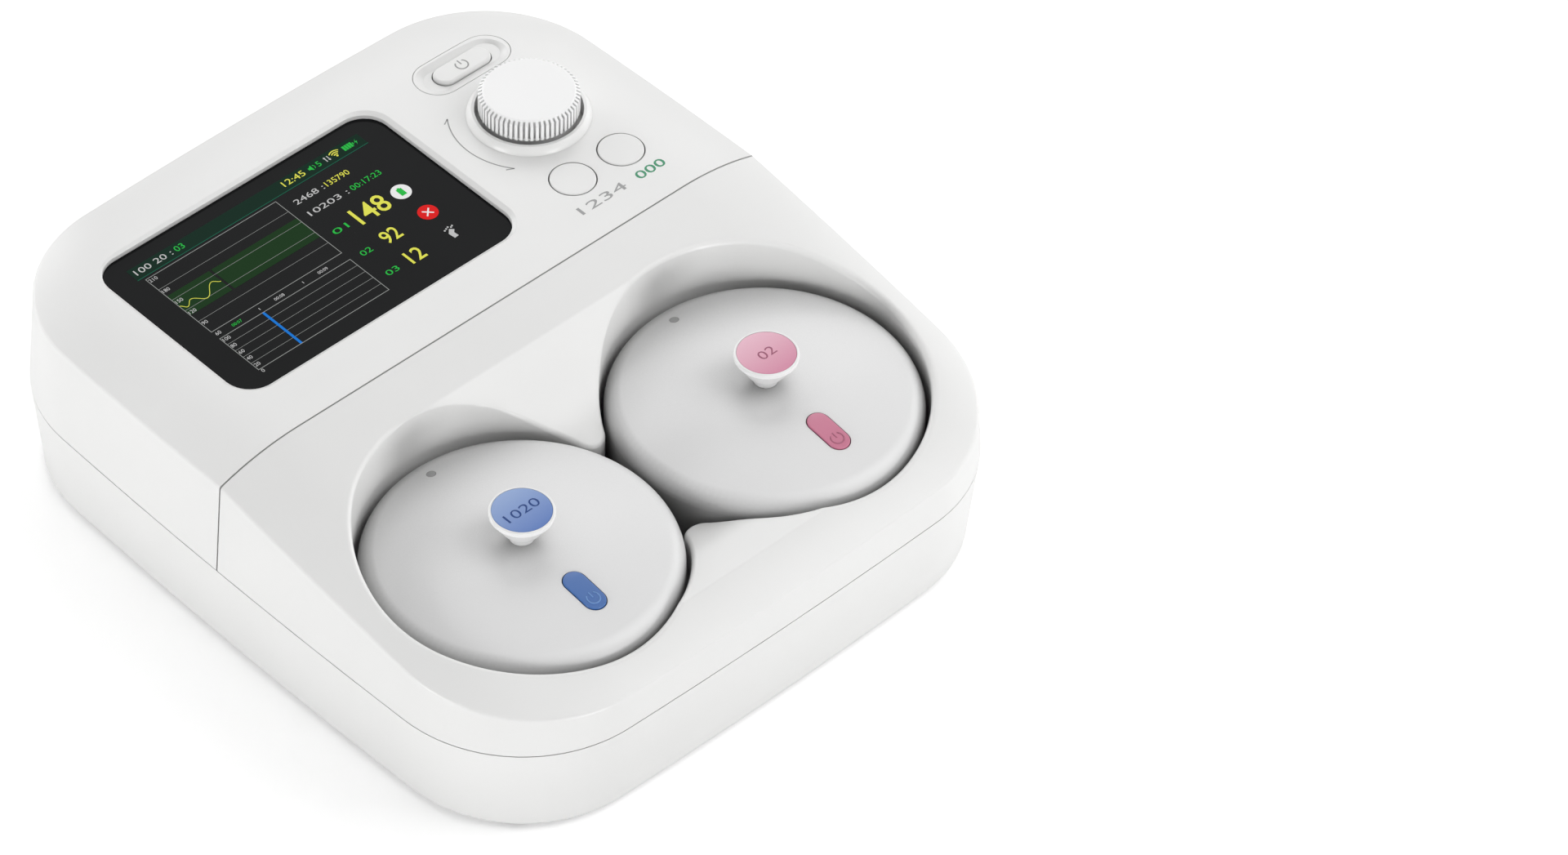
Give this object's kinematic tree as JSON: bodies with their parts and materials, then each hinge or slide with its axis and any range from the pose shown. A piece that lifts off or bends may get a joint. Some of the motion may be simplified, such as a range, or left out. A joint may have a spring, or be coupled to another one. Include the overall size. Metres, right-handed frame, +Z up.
{
  "type": "tabletop fetal monitor with wireless probes",
  "caption": "Mains-charged tabletop fetal monitor: white dock with display, turning selector and keys, and round wireless belt probes that stand in wells and lift out.",
  "frame": {"origin": "on the table under the middle of the dock", "axes": "+Z up, front of the dock faces -Y, +X to the right as seen from the front"},
  "size_m": [0.2, 0.227, 0.0749],
  "materials": {
    "white_plastic": "satin gloss",
    "probe_plastic": "satin gloss",
    "blue_plastic": "satin",
    "pink_plastic": "satin",
    "screen_glass": "glossy black glass",
    "circuit_board": "solder resist",
    "gold_contact": "gold plated",
    "battery_sleeve": "shrink sleeve",
    "bright_steel": "plated",
    "black_plastic": "matt",
    "foot_rubber": "matt",
    "load_cell_alloy": "machined",
    "ceramic": "fired",
    "lens_rubber": "satin",
    "light_pipe": "frosted"
  },
  "bodies": {
    "dock": {"lower_housing": "white_plastic", "rear_cover": "white_plastic", "front_tray": "white_plastic", "charging_cradle": "white_plastic", "charge_board": "circuit_board", "charging_pins": "gold_contact", "battery_pack": "battery_sleeve", "main_board": "circuit_board", "shield_can": "bright_steel", "usb_inlet": "bright_steel", "speaker": "black_plastic", "housing_screws": "bright_steel", "rubber_feet": "foot_rubber", "display_frame": "black_plastic", "display_glass": "screen_glass", "lcd_module": "black_plastic", "display_screws": "bright_steel", "control_board": "circuit_board", "key_switches": "black_plastic", "encoder_body": "black_plastic", "encoder_nut": "bright_steel", "power_dish": "white_plastic"},
    "knob": {"knob": "white_plastic", "encoder_shaft": "bright_steel"},
    "power_key": {"power_key": "white_plastic"},
    "left_key": {"left_key": "white_plastic"},
    "right_key": {"right_key": "white_plastic"},
    "contraction_probe": {"contraction_top_shell": "probe_plastic", "contraction_base_shell": "probe_plastic", "contraction_contacts": "gold_contact", "contraction_board": "circuit_board", "contraction_battery": "battery_sleeve", "contraction_stud": "probe_plastic", "contraction_stud_cap": "blue_plastic", "contraction_light_pipe": "light_pipe", "contraction_load_cell": "load_cell_alloy"},
    "contraction_button": {"contraction_button": "blue_plastic"},
    "contraction_plunger": {"contraction_plunger": "probe_plastic"},
    "heartbeat_probe": {"heartbeat_top_shell": "probe_plastic", "heartbeat_base_shell": "probe_plastic", "heartbeat_contacts": "gold_contact", "heartbeat_board": "circuit_board", "heartbeat_battery": "battery_sleeve", "heartbeat_stud": "probe_plastic", "heartbeat_stud_cap": "pink_plastic", "heartbeat_light_pipe": "light_pipe", "heartbeat_lens": "lens_rubber", "heartbeat_crystals": "ceramic"},
    "heartbeat_button": {"heartbeat_button": "pink_plastic"}
  },
  "joints": [
    {"name": "knob_turn", "type": "hinge", "parent": "dock", "child": "knob", "pos_m": [0.0592, 0.0547, 0.07], "axis": [0, 0, 1], "continuous": true},
    {"name": "power_key_press", "type": "slide", "parent": "dock", "child": "power_key", "axis": [0, 0, -1], "range_m": [0, 0.0005], "stiffness_N_per_m": 4000},
    {"name": "left_key_press", "type": "slide", "parent": "dock", "child": "left_key", "axis": [0, 0, -1], "range_m": [0, 0.0005], "stiffness_N_per_m": 4000},
    {"name": "right_key_press", "type": "slide", "parent": "dock", "child": "right_key", "axis": [0, 0, -1], "range_m": [0, 0.0005], "stiffness_N_per_m": 4000},
    {"name": "contraction_probe_lift", "type": "slide", "parent": "dock", "child": "contraction_probe", "axis": [0, 0, 1], "range_m": [0, 0.06]},
    {"name": "contraction_button_press", "type": "slide", "parent": "contraction_probe", "child": "contraction_button", "axis": [0, 0, -1], "range_m": [0, 0.0005], "stiffness_N_per_m": 4000},
    {"name": "contraction_plunger_press", "type": "slide", "parent": "contraction_probe", "child": "contraction_plunger", "axis": [0, 0, 1], "range_m": [0, 0.001], "stiffness_N_per_m": 3000},
    {"name": "heartbeat_probe_lift", "type": "slide", "parent": "dock", "child": "heartbeat_probe", "axis": [0, 0, 1], "range_m": [0, 0.06]},
    {"name": "heartbeat_button_press", "type": "slide", "parent": "heartbeat_probe", "child": "heartbeat_button", "axis": [0, 0, -1], "range_m": [0, 0.0005], "stiffness_N_per_m": 4000}
  ]
}
